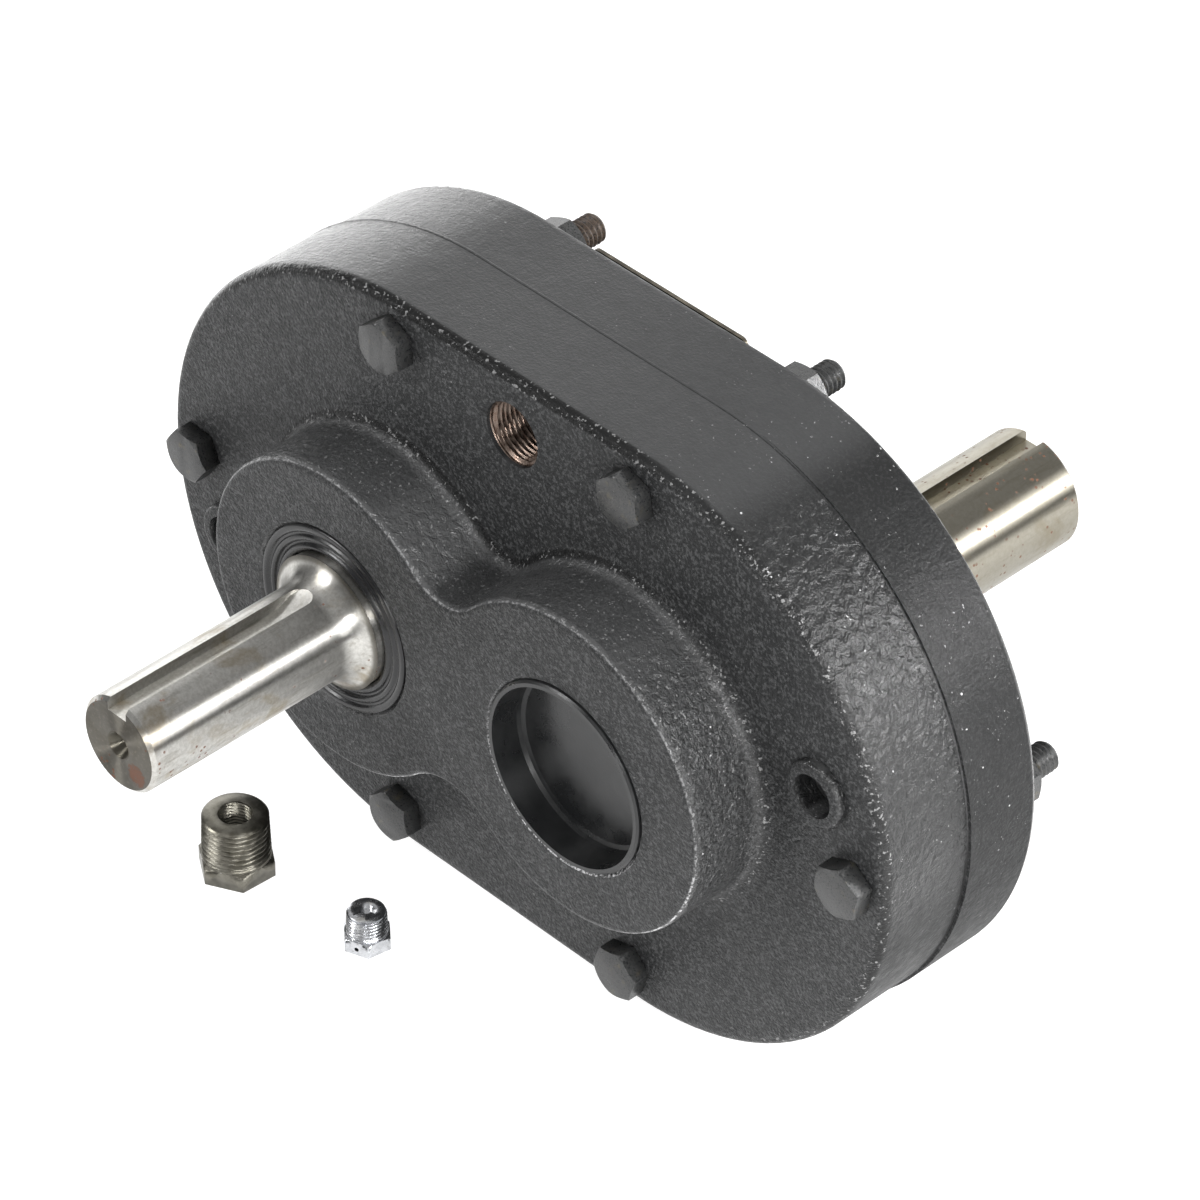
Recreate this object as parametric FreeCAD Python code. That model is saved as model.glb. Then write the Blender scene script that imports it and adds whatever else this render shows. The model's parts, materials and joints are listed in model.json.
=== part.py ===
import FreeCAD, Part
import math
import os

# Single-reduction parallel-shaft gearbox. All lengths are millimetres, all angles degrees.
# Frame: +Z up, z = 0 on the flat long side that the case rests on, x = 0 midway between the two
# shaft axes, y = 0 in the parting plane of the case. The input shaft points to -Y, the output to +Y.

# ---------------------------------------------------------------- driving dimensions
CENTRES = 79.375          # distance between the shaft axes
CASE_R = 82.0             # outer radius of the case about each shaft axis
AXIS_Z = CASE_R           # height of the shaft axes above the resting side
INPUT_X = -CENTRES / 2
OUTPUT_X = CENTRES / 2

FRONT_FACE_Y = -27.0      # flat front of the front casting
REAR_FACE_Y = 22.4        # flat back of the rear casting
FRONT_BOSS_Y = -48.65     # face of the front bearing boss
REAR_BOSS_Y = 45.7        # face of the rear bearing boss
GASKET_T = 0.5
WALL = 8.0                # casting walls at the front and back
RIM_WALL = 9.0            # casting wall round the outline
FRONT_EDGE_R = 3.2        # rounding of the front casting's outer edge
REAR_EDGE_R = 2.2         # the back edge is crisper
REAR_OFFSET_X = 0.9       # the rear casting's outline sits a little towards the output end
BOSS_BASE_R = 4.5         # cast fillet where a boss meets its face
BOSS_EDGE_R = 1.8         # rounding of the boss's own edge

INPUT_BOSS_R = 42.3
OUTPUT_BOSS_R = 43.2
OUTPUT_BOSS_SHIFT = (0.0, 2.4)   # cast boss centre off the output axis, in X and Z
WAIST_TOP_R = 13.0        # concave rounding between the two boss circles
WAIST_BOTTOM_R = 18.0

BOLT_CIRCLE_R = 71.4375   # 2 13/16 in from each shaft axis
BOLT_R = 3.97             # 5/16 in bolts
BOLT_HOLE_R = 4.3
BOLT_HEAD_FLATS = 12.7
BOLT_HEAD_T = 5.4
BOLT_LENGTH = 65.1        # 2 9/16 in under the head
NUT_T = 6.7
BOLT_CHAMFER = 0.7
HEAD_TURNS = (36, 41, 55, 40, 13, 22)    # how the wrench left each bolt head, in degrees
NUT_TURNS = (22, 9, 14, 3, 19, 28)
CORNER_CONE = 9.0         # the 30 degree cone that takes the corners off heads and nuts
CORNER_CONE_H = 5.0
PILLAR_R = 10.5           # cast metal round each bolt inside the cavity
DOWEL_R = 2.5
DOWEL_HALF = 8.0          # depth of the dowel holes in each casting

JOURNAL_R = 17.5
SEAT_R = 18.5             # gear seat on both shafts
SEAL_BORE_R = 25.0
SEAL_T = 8.0
PLUG_T = 1.5
PLUG_PROUD = 0.6
PLUG_DEPTH = 9.4
BEARING_R = 36.0
BEARING_W = 17.0
FRONT_BEARING_Y = -38.0   # outer side of the front bearings
REAR_BEARING_Y = 35.0     # outer side of the rear bearings
BALL_PITCH_R = 26.75
BALL_R = 5.45
BALL_GAP = 0.2
BALLS = 9
RACE_GAP = 3.9            # from the ball pitch circle to each race's land
CAGE_HALF_T = 1.8
CAGE_INSET = 1.6
FRONT_RACE_IN = FRONT_BEARING_Y + BEARING_W
REAR_RACE_IN = REAR_BEARING_Y - BEARING_W

MODULE = 3.175            # 8 teeth to the inch of diameter
PINION_TEETH = 18
GEAR_TEETH = 32
PRESSURE_ANGLE = 20.0
BACKLASH = 0.4
FACE_W = 22.0
GEAR_Y = -13.0            # front side of both gears
RUNNING_GAP = 0.05        # radial clearance of a shaft in its seal

INPUT_END_Y = -115.2
INPUT_R = 12.7            # 1 in shaft end
OUTPUT_END_Y = 109.2
OUTPUT_R = 15.875         # 1 1/4 in shaft end
SHAFT_CHAMFER = 1.0
SHOULDER_Y = -50.2        # front edge of the input journal
SHOULDER_LAND = 0.3       # raised turned land at that edge
FLARE_R = 7.0             # turned radius between the input shaft end and its journal
KEY_W = 6.35              # 1/4 in keyways in both shaft ends
KEYWAY_DEPTH = 3.6
CUTTER_R = 22.0           # keyway cutter, which leaves the keyway's floor rising at its end
CENTRE_DRILL_R = 3.5
PILOT_R = 1.3
INNER_KEY_W = 6.0
INNER_KEY_H = 6.0
INNER_KEY_SUNK = 3.4      # how deep the inner key sits in its shaft
SPACER_T = 3.5
HUB_T = 9.0               # hub and rim of the output gear's web
WEB_RECESS = 5.0

FILL_HOLE_R = 8.5         # 3/8 in pipe thread
FILL_Z = AXIS_Z + 65.9
LEVEL_X = 60.7            # level ports, out from each shaft axis
LEVEL_Z = 20.6
LEVEL_HOLE_R = 5.7
LEVEL_BOSS_R = 8.6
LEVEL_BOSS_H = 2.6
LEVEL_BOSS_EDGE_R = 1.4
PORT_PLUG_DEPTH = 4.0
PORT_PLUG_L = 6.5

PLATE_X = -1.5            # blank data plate on the back
PLATE_W = 51.0
PLATE_H = 24.0
PLATE_T = 1.0
PLATE_TOP_Z = 161.0
PLATE_CORNER_R = 2.0
PAD_H = 2.0
RIVET_R = 1.6
RIVET_INSET = 3.5
RIVET_HEAD_R = 2.8
RIVET_DOME_R = 3.4

BUSHING_AT = (-60.6, -63.3)      # loose fittings, standing where they are laid out
BUSHING_FLATS = 17.46
VENT_AT = (-18.3, -58.8)
VENT_FLATS = 11.1

UP = FreeCAD.Vector(0, 0, 1)
BACK = FreeCAD.Vector(0, 1, 0)


# ---------------------------------------------------------------- helpers
def vec(x, y, z):
    return FreeCAD.Vector(x, y, z)


def rod(r, y0, y1, x=0.0, z=AXIS_Z):
    """Round bar along Y."""
    return Part.makeCylinder(r, y1 - y0, vec(x, y0, z), BACK)


def ring(r_out, r_in, y0, y1, x=0.0, z=AXIS_Z):
    return rod(r_out, y0, y1, x, z).cut(rod(r_in, y0 - 1, y1 + 1, x, z))


def turned(profile, x):
    """Solid of revolution about a shaft axis, from a closed outline of (y, radius) points."""
    points = [vec(x, y, AXIS_Z + r) for y, r in profile]
    wire = Part.makePolygon(points + points[:1])
    return Part.Face(wire).revolve(vec(x, 0, AXIS_Z), BACK, 360)


def stadium(r, y0, y1, offset_x=0.0):
    """Slab with a round end about each shaft axis."""
    top = AXIS_Z + r
    low = AXIS_Z - r
    left = INPUT_X + offset_x
    right = OUTPUT_X + offset_x
    edges = [
        Part.makeLine(vec(left, y0, top), vec(right, y0, top)),
        Part.Arc(vec(right, y0, top), vec(right + r, y0, AXIS_Z), vec(right, y0, low)).toShape(),
        Part.makeLine(vec(right, y0, low), vec(left, y0, low)),
        Part.Arc(vec(left, y0, low), vec(left - r, y0, AXIS_Z), vec(left, y0, top)).toShape(),
    ]
    return Part.Face(Part.Wire(edges)).extrude(vec(0, y1 - y0, 0))


def hexagon(flats, y0, y1, x, z, turn=0.0):
    """Hexagonal bar along Y."""
    r = flats / math.sqrt(3)
    angles = [math.radians(turn + 60 * i) for i in range(7)]
    points = [vec(x + r * math.cos(a), y0, z + r * math.sin(a)) for a in angles]
    return Part.Face(Part.makePolygon(points)).extrude(vec(0, y1 - y0, 0))


def edges_where(shape, test):
    return [e for e in shape.Edges if test(e)]


def on_plane_y(edge, y):
    return all(abs(v.Y - y) < 1e-4 for v in edge.Vertexes) and abs(edge.CenterOfMass.y - y) < 1e-4


def save(name, solids):
    shape = solids[0] if len(solids) == 1 else Part.makeCompound(solids)
    for solid in shape.Solids:
        assert solid.isValid() and solid.Volume > 0, name
    shape.exportStep(f"parts/{name}.step")


# ---------------------------------------------------------------- castings
def bolt_places():
    """The six case bolts: above, below and outboard of each shaft axis."""
    places = []
    for x, out in ((INPUT_X, -1), (OUTPUT_X, 1)):
        places.append((x, AXIS_Z + BOLT_CIRCLE_R))
        places.append((x, AXIS_Z - BOLT_CIRCLE_R))
        places.append((x + out * BOLT_CIRCLE_R, AXIS_Z))
    return places


def waist_circle(a, ra, b, rb, r, side):
    """Centre of the circle of radius r that touches both boss circles from outside."""
    dx = b[0] - a[0]
    dz = b[1] - a[1]
    d = math.hypot(dx, dz)
    along = ((ra + r) ** 2 - (rb + r) ** 2 + d * d) / (2 * d)
    off = math.sqrt((ra + r) ** 2 - along * along) * side
    ux = dx / d
    uz = dz / d
    return (a[0] + ux * along - uz * off, a[1] + uz * along + ux * off)


def towards(a, b, r):
    """Point at distance r from a, on the way to b."""
    d = math.hypot(b[0] - a[0], b[1] - a[1])
    return (a[0] + (b[0] - a[0]) * r / d, a[1] + (b[1] - a[1]) * r / d)


def boss_outline(y):
    """Two boss circles joined by a concave waist above and below."""
    a = (INPUT_X, AXIS_Z)
    b = (OUTPUT_X + OUTPUT_BOSS_SHIFT[0], AXIS_Z + OUTPUT_BOSS_SHIFT[1])
    top = waist_circle(a, INPUT_BOSS_R, b, OUTPUT_BOSS_R, WAIST_TOP_R, 1)
    low = waist_circle(a, INPUT_BOSS_R, b, OUTPUT_BOSS_R, WAIST_BOTTOM_R, -1)
    a_top = towards(a, top, INPUT_BOSS_R)
    b_top = towards(b, top, OUTPUT_BOSS_R)
    a_low = towards(a, low, INPUT_BOSS_R)
    b_low = towards(b, low, OUTPUT_BOSS_R)
    middle = ((a[0] + b[0]) / 2, (a[1] + b[1]) / 2)
    stops = [
        (a_top, towards(top, middle, WAIST_TOP_R), b_top),
        (b_top, (b[0] + OUTPUT_BOSS_R, b[1]), b_low),
        (b_low, towards(low, middle, WAIST_BOTTOM_R), a_low),
        (a_low, (a[0] - INPUT_BOSS_R, a[1]), a_top),
    ]
    arcs = [Part.Arc(*[vec(x, y, z) for x, z in stop]).toShape() for stop in stops]
    return Part.Wire(arcs)


def casting(face_y, boss_y, seam_y, bearing_y, edge_r, offset_x):
    """One half of the case, from its bearing boss to the gasket."""
    back = 1 if boss_y > 0 else -1
    plate = stadium(CASE_R, min(face_y, seam_y), max(face_y, seam_y), offset_x)
    plate = plate.makeFillet(edge_r, edges_where(plate, lambda e: on_plane_y(e, face_y)))
    boss = Part.Face(boss_outline(face_y - back)).extrude(vec(0, boss_y - face_y + back, 0))
    boss = boss.makeFillet(BOSS_EDGE_R, edges_where(boss, lambda e: on_plane_y(e, boss_y)))
    body = plate.fuse(boss).removeSplitter()
    reach = BOLT_CIRCLE_R - 6

    def at_boss_base(edge):
        return on_plane_y(edge, face_y) and all(
            math.hypot(abs(v.X) - OUTPUT_X, v.Z - AXIS_Z) < reach for v in edge.Vertexes
        )

    body = body.makeFillet(BOSS_BASE_R, edges_where(body, at_boss_base))

    inner_y = face_y - back * WALL
    cavity = stadium(CASE_R - RIM_WALL, min(inner_y, seam_y), max(inner_y, seam_y))
    for x, z in bolt_places():
        pillar = rod(PILLAR_R, min(inner_y, seam_y), max(inner_y, seam_y), x, z)
        cavity = cavity.cut(pillar)
    body = body.cut(cavity)
    for x in (INPUT_X, OUTPUT_X):
        body = body.cut(rod(BEARING_R, min(bearing_y, inner_y), max(bearing_y, inner_y), x))
        body = body.cut(rod(SEAL_BORE_R, min(boss_y, bearing_y) - 1, max(boss_y, bearing_y) + 1, x))
    mouth = Part.makeCone(SEAL_BORE_R + 0.9, SEAL_BORE_R, 0.9, vec(0, 0, 0), BACK * -back)
    for x in (INPUT_X, OUTPUT_X):
        cut = mouth.copy()
        cut.translate(vec(x, boss_y, AXIS_Z))
        body = body.cut(cut)
    for x, z in bolt_places():
        body = body.cut(rod(BOLT_HOLE_R, min(face_y, seam_y) - 1, max(face_y, seam_y) + 1, x, z))
    return body


def dowel_places():
    middle = CASE_R - RIM_WALL / 2
    return [(0.0, AXIS_Z + middle), (0.0, AXIS_Z - middle)]


def drill_dowels(body):
    for x, z in dowel_places():
        body = body.cut(rod(DOWEL_R, -DOWEL_HALF, DOWEL_HALF, x, z))
    return body


def front_housing():
    seam_y = -GASKET_T / 2
    body = casting(FRONT_FACE_Y, FRONT_BOSS_Y, seam_y, FRONT_BEARING_Y, FRONT_EDGE_R, 0)
    inner_y = FRONT_FACE_Y + WALL
    pad = rod(FILL_HOLE_R + 4.5, inner_y - 1, inner_y + 3, 0, FILL_Z)
    body = body.fuse(pad.common(stadium(CASE_R - 1, inner_y - 1, inner_y + 3)))
    for sign in (-1, 1):
        x = sign * (OUTPUT_X + LEVEL_X)
        z = AXIS_Z + sign * LEVEL_Z
        boss = rod(LEVEL_BOSS_R, FRONT_FACE_Y - LEVEL_BOSS_H, inner_y + 3, x, z)
        rim = edges_where(boss, lambda e: on_plane_y(e, FRONT_FACE_Y - LEVEL_BOSS_H))
        body = body.fuse(boss.makeFillet(LEVEL_BOSS_EDGE_R, rim))
    for sign in (-1, 1):
        x = sign * (OUTPUT_X + LEVEL_X)
        z = AXIS_Z + sign * LEVEL_Z
        body = body.cut(rod(LEVEL_HOLE_R, FRONT_FACE_Y - 5, inner_y + 5, x, z))
    body = body.cut(rod(FILL_HOLE_R, FRONT_FACE_Y - 5, inner_y + 5, 0, FILL_Z))
    return drill_dowels(body)


def rear_housing():
    seam_y = GASKET_T / 2
    body = casting(REAR_FACE_Y, REAR_BOSS_Y, seam_y, REAR_BEARING_Y, REAR_EDGE_R, REAR_OFFSET_X)
    pad = Part.makeBox(PLATE_W + 6, PAD_H + 1, PLATE_H + 2)
    pad.translate(vec(PLATE_X - PLATE_W / 2 - 3, REAR_FACE_Y - 1, PLATE_TOP_Z - PLATE_H - 4))
    for x, z in rivet_places():
        pad = pad.cut(rod(RIVET_R, REAR_FACE_Y - 4, REAR_FACE_Y + 5, x, z))
        body = body.cut(rod(RIVET_R, REAR_FACE_Y - 4, REAR_FACE_Y + 5, x, z))
    body = body.fuse(pad.cut(body))
    return drill_dowels(body)


def gasket():
    half = GASKET_T / 2
    body = stadium(CASE_R, -half, half)
    hole = stadium(CASE_R - RIM_WALL, -half, half)
    for x, z in bolt_places():
        hole = hole.cut(rod(PILLAR_R, -half, half, x, z))
    body = body.cut(hole)
    for x, z in bolt_places():
        body = body.cut(rod(BOLT_HOLE_R, -1, 1, x, z))
    for x, z in dowel_places():
        body = body.cut(rod(DOWEL_R, -1, 1, x, z))
    return body


def dowel_pins():
    return [rod(DOWEL_R, -DOWEL_HALF + 0.5, DOWEL_HALF - 0.5, x, z) for x, z in dowel_places()]


# ---------------------------------------------------------------- fasteners and plate
def rivet_places():
    places = []
    for sx in (-1, 1):
        for sz in (-1, 1):
            x = PLATE_X + sx * (PLATE_W / 2 - RIVET_INSET)
            z = PLATE_TOP_Z - PLATE_H / 2 + sz * (PLATE_H / 2 - RIVET_INSET)
            places.append((x, z))
    return places


def case_bolts():
    """Hexagon heads on the front, each turned a little differently by the wrench."""
    flat_r = BOLT_HEAD_FLATS / 2
    head_y = FRONT_FACE_Y - BOLT_HEAD_T
    bolts = []
    for (x, z), turn in zip(bolt_places(), HEAD_TURNS):
        head = hexagon(BOLT_HEAD_FLATS, head_y, FRONT_FACE_Y, x, z, turn)
        crown = Part.makeCone(flat_r, flat_r + CORNER_CONE, CORNER_CONE_H, vec(x, head_y, z), BACK)
        head = head.common(crown)
        shank = rod(BOLT_R, FRONT_FACE_Y - 1, FRONT_FACE_Y + BOLT_LENGTH, x, z)
        tip = edges_where(shank, lambda e: on_plane_y(e, FRONT_FACE_Y + BOLT_LENGTH))
        bolts.append(head.fuse(shank.makeChamfer(BOLT_CHAMFER, tip)).removeSplitter())
    return bolts


def case_nuts():
    flat_r = BOLT_HEAD_FLATS / 2
    end_y = REAR_FACE_Y + NUT_T
    nuts = []
    for (x, z), turn in zip(bolt_places(), NUT_TURNS):
        nut = hexagon(BOLT_HEAD_FLATS, REAR_FACE_Y, end_y, x, z, turn)
        cone_y = end_y - CORNER_CONE_H
        crown = Part.makeCone(flat_r + CORNER_CONE, flat_r, CORNER_CONE_H, vec(x, cone_y, z), BACK)
        collar = rod(flat_r + CORNER_CONE, REAR_FACE_Y, cone_y + 1, x, z)
        hole = rod(BOLT_R, REAR_FACE_Y - 1, end_y + 1, x, z)
        nuts.append(nut.common(crown.fuse(collar)).cut(hole))
    return nuts


def nameplate():
    y0 = REAR_FACE_Y + PAD_H
    plate = Part.makeBox(PLATE_W, PLATE_T, PLATE_H)
    plate.translate(vec(PLATE_X - PLATE_W / 2, y0, PLATE_TOP_Z - PLATE_H))
    corners = edges_where(plate, lambda e: abs(e.tangentAt(e.FirstParameter).y) > 0.9)
    plate = plate.makeFillet(PLATE_CORNER_R, corners)
    for x, z in rivet_places():
        plate = plate.cut(rod(RIVET_R, y0 - 1, y0 + 3, x, z))
    return plate


def nameplate_rivets():
    head_y = REAR_FACE_Y + PAD_H + PLATE_T
    rivets = []
    for x, z in rivet_places():
        ball = Part.makeSphere(RIVET_DOME_R, vec(x, head_y - 1.9, z))
        dome = ball.common(rod(RIVET_HEAD_R, head_y, head_y + 3, x, z))
        rivets.append(dome.fuse(rod(RIVET_R, REAR_FACE_Y - 3, head_y + 0.5, x, z)).removeSplitter())
    return rivets


def port_plugs():
    """Flush pipe plugs with a hexagon socket, deep in the two level ports."""
    plugs = []
    for sign in (-1, 1):
        x = sign * (OUTPUT_X + LEVEL_X)
        z = AXIS_Z + sign * LEVEL_Z
        front = FRONT_FACE_Y + PORT_PLUG_DEPTH
        plug = rod(LEVEL_HOLE_R, front, front + PORT_PLUG_L, x, z)
        plugs.append(plug.cut(hexagon(6.35, front - 1, front + 4, x, z, 10)))
    return plugs


# ---------------------------------------------------------------- seals and cup plugs
def seal(boss_y, x):
    """Lip seal: a ribbed rubber ring, flush with the boss, that runs on the shaft journal."""
    back = 1 if boss_y > 0 else -1
    bore = JOURNAL_R + RUNNING_GAP
    outline = [
        (0.0, SEAL_BORE_R),
        (0.0, SEAL_BORE_R - 3.6),
        (-0.5, SEAL_BORE_R - 3.9),
        (-0.5, bore + 1.7),
        (-1.6, bore),
        (-2.4, bore),
        (-3.0, bore + 0.9),
        (-3.6, bore + 2.1),
        (-4.8, bore + 1.6),
        (-6.0, bore),
        (-6.6, bore),
        (-7.4, bore + 1.2),
        (-7.4, bore + 2.6),
        (-3.8, bore + 3.6),
        (-3.4, SEAL_BORE_R - 1.8),
        (-SEAL_T, SEAL_BORE_R - 1.6),
        (-SEAL_T, SEAL_BORE_R),
    ]
    return turned([(boss_y + back * y, r) for y, r in outline], x)


def garter_spring(boss_y, x):
    """The coil spring round the seal's lip, as a plain ring."""
    back = 1 if boss_y > 0 else -1
    r = 0.7
    ring_r = JOURNAL_R + RUNNING_GAP + 4.0
    return Part.makeTorus(ring_r, r, vec(x, boss_y - back * 6.6, AXIS_Z), BACK)


def cup_plug(boss_y, x):
    """Pressed cup that closes the end of an unused bore."""
    back = 1 if boss_y > 0 else -1
    rim = boss_y + back * PLUG_PROUD
    floor = rim - back * PLUG_DEPTH
    out = SEAL_BORE_R
    inside = SEAL_BORE_R - PLUG_T
    outline = [
        (rim, inside),
        (rim, out - 0.5),
        (rim - back * 0.5, out),
        (floor - back * (PLUG_T - 1.2), out),
        (floor - back * PLUG_T, out - 1.2),
        (floor - back * PLUG_T, 0),
        (floor, 0),
        (floor, inside - 1.5),
        (floor + back * 0.45, inside - 0.45),
        (floor + back * 1.5, inside),
    ]
    return turned(outline, x)


# ---------------------------------------------------------------- bearings
def outer_race(y0, x):
    body = ring(BEARING_R, BALL_PITCH_R + RACE_GAP, y0, y0 + BEARING_W, x)
    groove = Part.makeTorus(BALL_PITCH_R, BALL_R + BALL_GAP, vec(x, y0 + BEARING_W / 2, AXIS_Z), BACK)
    return body.cut(groove)


def inner_race(y0, x):
    body = ring(BALL_PITCH_R - RACE_GAP, JOURNAL_R, y0, y0 + BEARING_W, x)
    groove = Part.makeTorus(BALL_PITCH_R, BALL_R + BALL_GAP, vec(x, y0 + BEARING_W / 2, AXIS_Z), BACK)
    return body.cut(groove)


def ball_directions():
    angles = [math.radians(360 * i / BALLS) for i in range(BALLS)]
    return [vec(math.cos(a), 0, math.sin(a)) for a in angles]


def balls(y0, x):
    centre = vec(x, y0 + BEARING_W / 2, AXIS_Z)
    return [Part.makeSphere(BALL_R, centre + way * BALL_PITCH_R) for way in ball_directions()]


def cage(y0, x):
    """Ring between the races with one drilled pocket for each ball."""
    centre = vec(x, y0 + BEARING_W / 2, AXIS_Z)
    y1 = y0 + BEARING_W - CAGE_INSET
    body = ring(BALL_PITCH_R + CAGE_HALF_T, BALL_PITCH_R - CAGE_HALF_T, y0 + CAGE_INSET, y1, x)
    for way in ball_directions():
        body = body.cut(Part.makeCylinder(BALL_R + 0.15, 10, centre + way * (BALL_PITCH_R - 5), way))
    return body


# ---------------------------------------------------------------- gears
def involute_gear(teeth, x, first_tooth, bore_r):
    """Spur gear about a shaft axis. first_tooth is the angle of one tooth's middle from +X."""
    pitch_r = MODULE * teeth / 2
    base_r = pitch_r * math.cos(math.radians(PRESSURE_ANGLE))
    tip_r = pitch_r + MODULE
    root_r = pitch_r - 1.25 * MODULE
    half_tooth = math.pi / (2 * teeth) - BACKLASH / (4 * pitch_r)
    pitch_roll = math.tan(math.radians(PRESSURE_ANGLE)) - math.radians(PRESSURE_ANGLE)

    def flank(r):
        """Half of the tooth's angle at radius r."""
        cos_a = min(1.0, base_r / r)
        roll = math.tan(math.acos(cos_a)) - math.acos(cos_a)
        return half_tooth + pitch_roll - roll

    def at(r, angle):
        return vec(x + r * math.cos(angle), GEAR_Y, AXIS_Z + r * math.sin(angle))

    start_r = max(base_r, root_r + 0.3)
    steps = [start_r + (tip_r - start_r) * i / 5 for i in range(6)]
    edges = []
    for tooth in range(teeth):
        mid = math.radians(first_tooth) + 2 * math.pi * tooth / teeth
        following = mid + 2 * math.pi / teeth
        rising = Part.BSplineCurve()
        rising.interpolate([at(r, mid - flank(r)) for r in steps])
        falling = Part.BSplineCurve()
        falling.interpolate([at(r, mid + flank(r)) for r in reversed(steps)])
        foot = flank(start_r)
        edges.append(Part.makeLine(at(root_r, mid - foot), at(start_r, mid - foot)))
        edges.append(rising.toShape())
        crest = flank(tip_r)
        edges.append(Part.Arc(at(tip_r, mid - crest), at(tip_r, mid), at(tip_r, mid + crest)).toShape())
        edges.append(falling.toShape())
        edges.append(Part.makeLine(at(start_r, mid + foot), at(root_r, mid + foot)))
        gap = (mid + following) / 2
        valley = Part.Arc(at(root_r, mid + foot), at(root_r, gap), at(root_r, following - foot))
        edges.append(valley.toShape())
    blank = Part.Face(Part.Wire(edges)).extrude(vec(0, FACE_W, 0))
    return blank.cut(rod(bore_r, GEAR_Y - 1, GEAR_Y + FACE_W + 1, x))


def key_slot(x, y0, y1):
    """Space of the inner key, half in the shaft seat and half in the gear's hub."""
    slot = Part.makeBox(INNER_KEY_W, y1 - y0, INNER_KEY_H)
    slot.translate(vec(x - INNER_KEY_W / 2, y0, AXIS_Z + SEAT_R - INNER_KEY_SUNK))
    return slot


def pinion():
    gear = involute_gear(PINION_TEETH, INPUT_X, 180 / PINION_TEETH, SEAT_R)
    return gear.cut(key_slot(INPUT_X, GEAR_Y - 1, GEAR_Y + FACE_W + 1))


def output_gear():
    gear = involute_gear(GEAR_TEETH, OUTPUT_X, 180, SEAT_R)
    rim_r = MODULE * GEAR_TEETH / 2 - HUB_T
    hub_r = SEAT_R + HUB_T
    for y0 in (GEAR_Y - 1, GEAR_Y + FACE_W - WEB_RECESS):
        gear = gear.cut(ring(rim_r, hub_r, y0, y0 + WEB_RECESS + 1, OUTPUT_X))
    return gear.cut(key_slot(OUTPUT_X, GEAR_Y - 1, GEAR_Y + FACE_W + 1))


def gear_key(x):
    return key_slot(x, GEAR_Y + 1, GEAR_Y + FACE_W - 1)


def spacer(y0, y1, x):
    return ring(SEAT_R + SPACER_T, SEAT_R, y0, y1, x)


# ---------------------------------------------------------------- shafts
def keyway(x, shaft_r, open_y, end_y):
    """Keyway at the top of a shaft end: open at the end, running out in the cutter's curve."""
    back = 1 if end_y > open_y else -1
    floor_z = AXIS_Z + shaft_r - KEYWAY_DEPTH
    cutter_y = end_y - back * math.sqrt(CUTTER_R ** 2 - (CUTTER_R - KEYWAY_DEPTH) ** 2)
    y0 = min(open_y - back, cutter_y)
    slot = Part.makeBox(KEY_W, abs(cutter_y - open_y) + 1, 10, vec(x - KEY_W / 2, y0, floor_z))
    disc = Part.makeCylinder(
        CUTTER_R, KEY_W, vec(x - KEY_W / 2, cutter_y, floor_z + CUTTER_R), vec(1, 0, 0)
    )
    round_end = Part.makeCylinder(KEY_W / 2, 30, vec(x, end_y - back * KEY_W / 2, floor_z), UP)
    middle = Part.makeBox(KEY_W, CUTTER_R, 30, vec(x - KEY_W / 2, 0, floor_z))
    middle.translate(vec(0, end_y - back * KEY_W / 2 - (CUTTER_R if back > 0 else 0), 0))
    return slot.fuse(disc.common(round_end.fuse(middle)))


def centre_drill(x, end_y, back):
    mouth = Part.makeCone(CENTRE_DRILL_R, PILOT_R, 4.2, vec(x, end_y, AXIS_Z), BACK * back)
    pilot = Part.makeCylinder(PILOT_R, 8, vec(x, end_y, AXIS_Z), BACK * back)
    return mouth.fuse(pilot)


def input_shaft():
    rear_end = REAR_BEARING_Y - 0.5
    chamfer = SHAFT_CHAMFER
    land_r = JOURNAL_R + SHOULDER_LAND
    meet = math.sqrt(FLARE_R ** 2 - (INPUT_R + FLARE_R - land_r) ** 2)
    flare_y = SHOULDER_Y - meet
    start = vec(INPUT_X, flare_y, AXIS_Z + INPUT_R)
    stop = vec(INPUT_X, SHOULDER_Y, AXIS_Z + land_r)
    a = math.atan2(meet, INPUT_R + FLARE_R - land_r) / 2
    mid = vec(
        INPUT_X, flare_y + FLARE_R * math.sin(a), AXIS_Z + INPUT_R + FLARE_R * (1 - math.cos(a))
    )

    def at(y, r):
        return vec(INPUT_X, y, AXIS_Z + r)

    corners = [
        at(SHOULDER_Y, land_r), at(SHOULDER_Y + 0.4, JOURNAL_R), at(FRONT_RACE_IN, JOURNAL_R),
        at(FRONT_RACE_IN, SEAT_R), at(REAR_RACE_IN, SEAT_R), at(REAR_RACE_IN, JOURNAL_R),
        at(rear_end - chamfer, JOURNAL_R), at(rear_end, JOURNAL_R - chamfer), at(rear_end, 0),
        at(INPUT_END_Y, 0), at(INPUT_END_Y, INPUT_R - chamfer), at(INPUT_END_Y + chamfer, INPUT_R),
        start,
    ]
    edges = [Part.Arc(start, mid, stop).toShape()]
    edges += [Part.makeLine(p, q) for p, q in zip(corners, corners[1:])]
    body = Part.Face(Part.Wire(edges)).revolve(at(0, 0), BACK, 360)
    body = body.cut(keyway(INPUT_X, INPUT_R, INPUT_END_Y, flare_y + 1.5))
    body = body.cut(centre_drill(INPUT_X, INPUT_END_Y, 1))
    return body.cut(key_slot(INPUT_X, GEAR_Y + 1, GEAR_Y + FACE_W - 1))


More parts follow.
